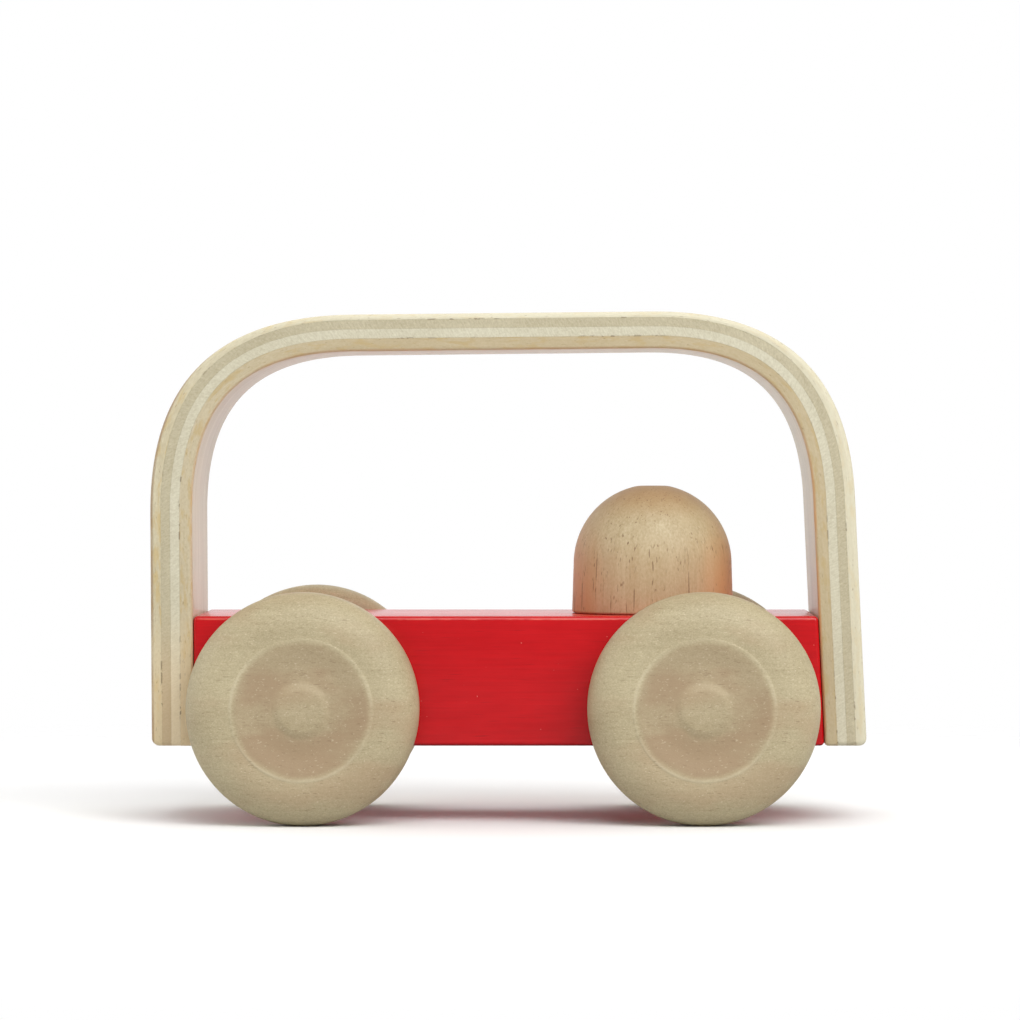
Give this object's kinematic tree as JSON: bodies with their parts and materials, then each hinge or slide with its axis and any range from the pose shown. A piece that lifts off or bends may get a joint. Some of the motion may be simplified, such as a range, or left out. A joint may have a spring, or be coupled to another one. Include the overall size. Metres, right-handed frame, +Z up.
{
  "type": "wooden toy car",
  "caption": "Wooden push-along car with a moulded plywood arch as grab handle, a painted block body, a dome-headed driver peg and turned, dished wheels.",
  "frame": {"origin": "on the ground under the middle of the car, where the wheels stand", "axes": "+X forward, towards the driver's end; +Y to the car's left, along the axles; +Z up"},
  "size_m": [0.1702, 0.083, 0.1215],
  "materials": {
    "red_paint": "satin red paint over wood",
    "face_veneer": "clear matt lacquer on pale face veneer",
    "pale_core_veneer": "clear matt lacquer on pale core veneer",
    "dark_core_veneer": "clear matt lacquer on darker core veneer",
    "driver_wood": "satin clear lacquer on warm tan wood",
    "wheel_wood": "matt oiled pale wood",
    "dowel_wood": "plain sanded wood"
  },
  "bodies": {
    "car_body": {"chassis_block": "red_paint", "arch_inner_ply": "face_veneer", "arch_inner_core_ply": "pale_core_veneer", "arch_outer_core_ply": "dark_core_veneer", "arch_outer_ply": "face_veneer", "driver": "driver_wood", "driver_dowel": "dowel_wood", "rear_leg_dowel_left": "dowel_wood", "rear_leg_dowel_right": "dowel_wood", "front_leg_dowel_left": "dowel_wood", "front_leg_dowel_right": "dowel_wood"},
    "rear_wheelset": {"rear_axle": "dowel_wood", "rear_wheel_left": "wheel_wood", "rear_wheel_right": "wheel_wood"},
    "front_wheelset": {"front_axle": "dowel_wood", "front_wheel_left": "wheel_wood", "front_wheel_right": "wheel_wood"}
  },
  "joints": [
    {"name": "rear_wheelset_roll", "type": "hinge", "parent": "car_body", "child": "rear_wheelset", "pos_m": [-0.04841, 0, 0.0275], "axis": [0, 1, 0], "continuous": true},
    {"name": "front_wheelset_roll", "type": "hinge", "parent": "car_body", "child": "front_wheelset", "pos_m": [0.04619, 0, 0.0275], "axis": [0, 1, 0], "continuous": true}
  ]
}
